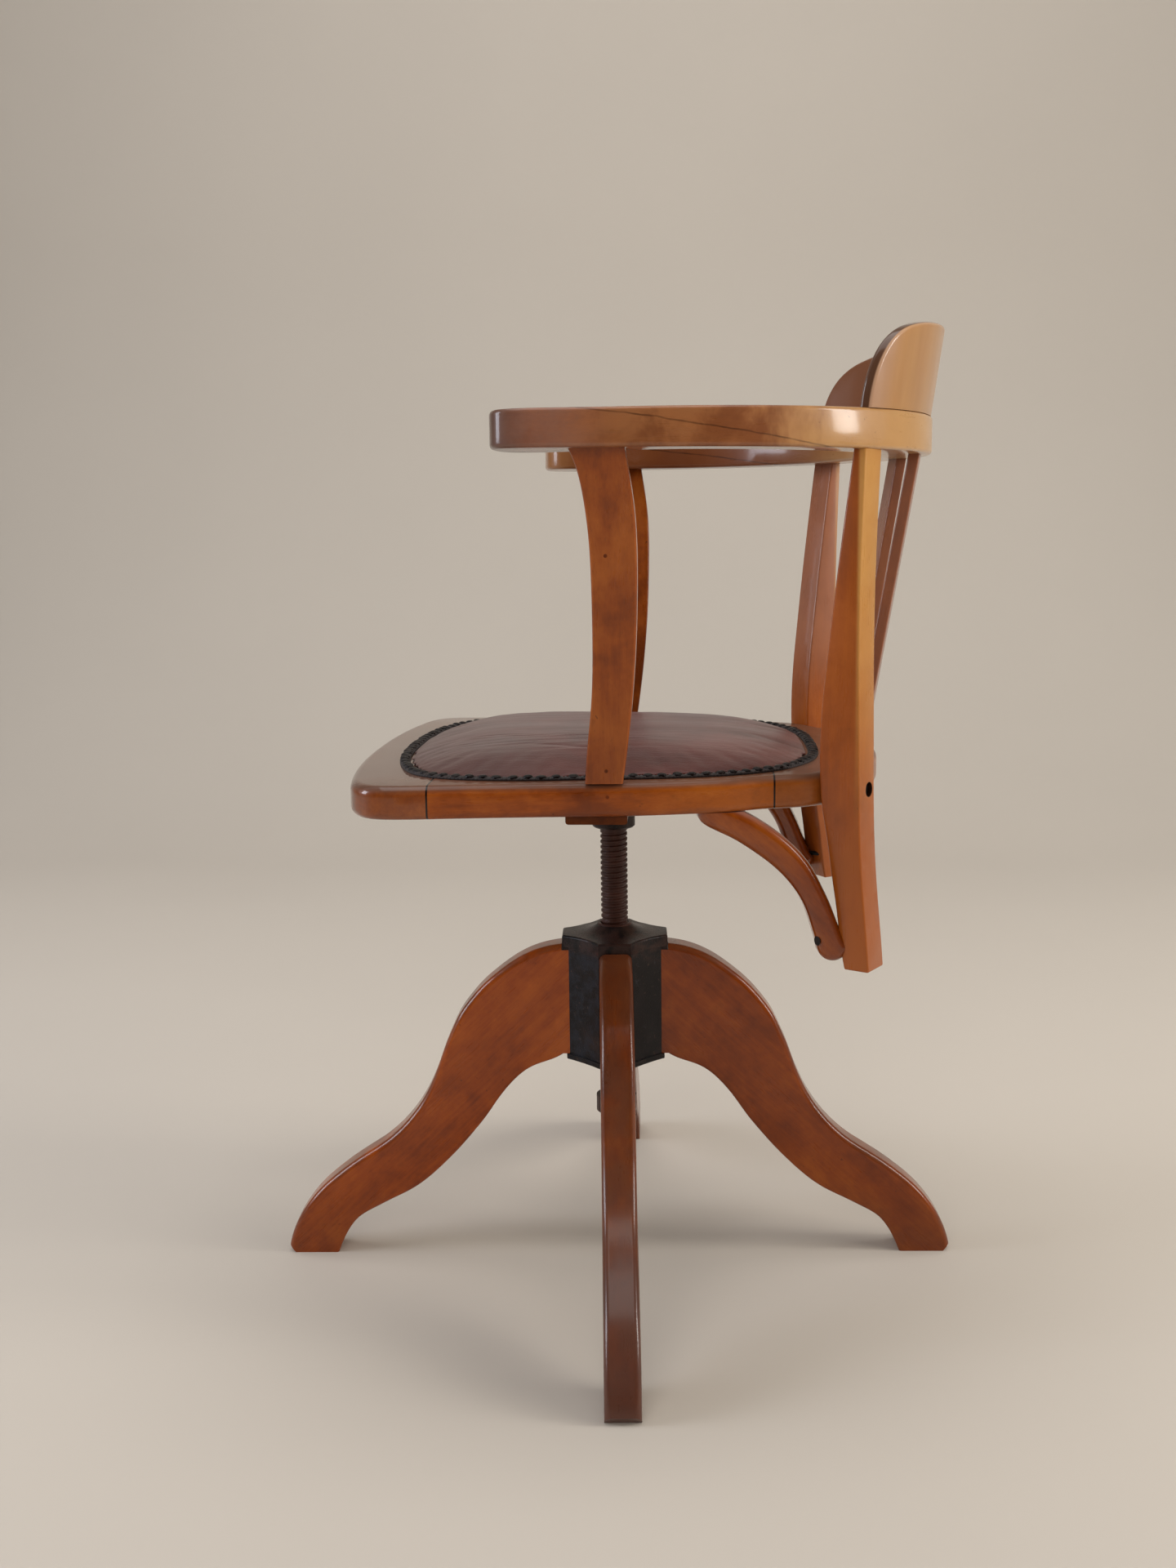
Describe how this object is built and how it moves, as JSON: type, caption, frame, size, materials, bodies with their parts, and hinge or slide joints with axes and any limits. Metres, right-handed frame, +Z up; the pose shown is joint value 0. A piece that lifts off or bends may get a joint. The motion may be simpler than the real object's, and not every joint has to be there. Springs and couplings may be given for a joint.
{
  "type": "swivel armchair",
  "caption": "Wooden desk armchair with bow back, leather seat pad and screw-height swivel on a splayed-leg base.",
  "frame": {"origin": "on the floor under the height screw's axis, the centre of the base", "axes": "+Z up along the height screw, -Y to the front of the seat, +X to the sitter's left"},
  "size_m": [0.6392, 0.6394, 0.859],
  "materials": {
    "legs": "warm red-brown stained and polished beech",
    "seat_frame": "orange-brown stained and polished beech, worn on the top",
    "arms": "orange-brown polished beech, darkened at the hand rests",
    "posts": "red-brown polished beech",
    "slats": "red-brown polished beech",
    "braces": "red-brown polished bentwood",
    "bearers": "dark stained beech",
    "deck": "plain board",
    "dowels": "plain beech",
    "hub_iron": "black japanned iron, worn",
    "nut": "bare iron",
    "screw_steel": "dark rusted steel",
    "fastener_steel": "dark steel",
    "leather": "burgundy leather with a soft sheen",
    "braid": "dark ribbed braid",
    "nails": "dark dome heads"
  },
  "bodies": {
    "base": {"hub_bottom_plate": "hub_iron", "hub_clamp_bolts": "fastener_steel", "hub_nut": "nut", "hub_sleeve": "hub_iron", "hub_top_plate": "hub_iron", "leg_front": "legs", "leg_left": "legs", "leg_rear": "legs", "leg_right": "legs"},
    "ring": {"spindle_washer": "screw_steel"},
    "seat": {"arm_back_bow": "arms", "arm_dowels": "dowels", "arm_left": "arms", "arm_post_pins": "dowels", "arm_right": "arms", "back_slat_left": "slats", "back_slat_right": "slats", "bearer_fore_aft": "bearers", "bearer_side": "bearers", "brace_left": "braces", "brace_right": "braces", "brace_screws": "fastener_steel", "crest_dowels": "dowels", "crest_rail": "arms", "front_arm_post_left": "posts", "front_arm_post_right": "posts", "front_rail": "seat_frame", "gimp_trim": "braid", "rail_dowels": "dowels", "rear_post_bolts": "fastener_steel", "rear_post_left": "posts", "rear_post_right": "posts", "rear_rail": "seat_frame", "seat_cushion": "leather", "seat_deck": "deck", "seat_iron": "hub_iron", "seat_iron_screws": "fastener_steel", "side_rail_left": "seat_frame", "side_rail_right": "seat_frame", "slat_dowels": "dowels", "spindle": "screw_steel", "spindle_stop_collar": "screw_steel", "spindle_stop_pin": "screw_steel", "upholstery_nails": "nails"}
  },
  "joints": [
    {"name": "seat_swivel", "type": "hinge", "parent": "base", "child": "ring", "pos_m": [0, 0, 0.3237], "axis": [0, 0, 1], "range_deg": [-6370, 2790]},
    {"name": "seat_height", "type": "slide", "parent": "ring", "child": "seat", "axis": [0, 0, 1], "range_m": [-0.0899, 0.03938]}
  ],
  "couplings": [
    {"joint": "seat_height", "follows": "seat_swivel", "m_per_rad": 0.00080851}
  ]
}
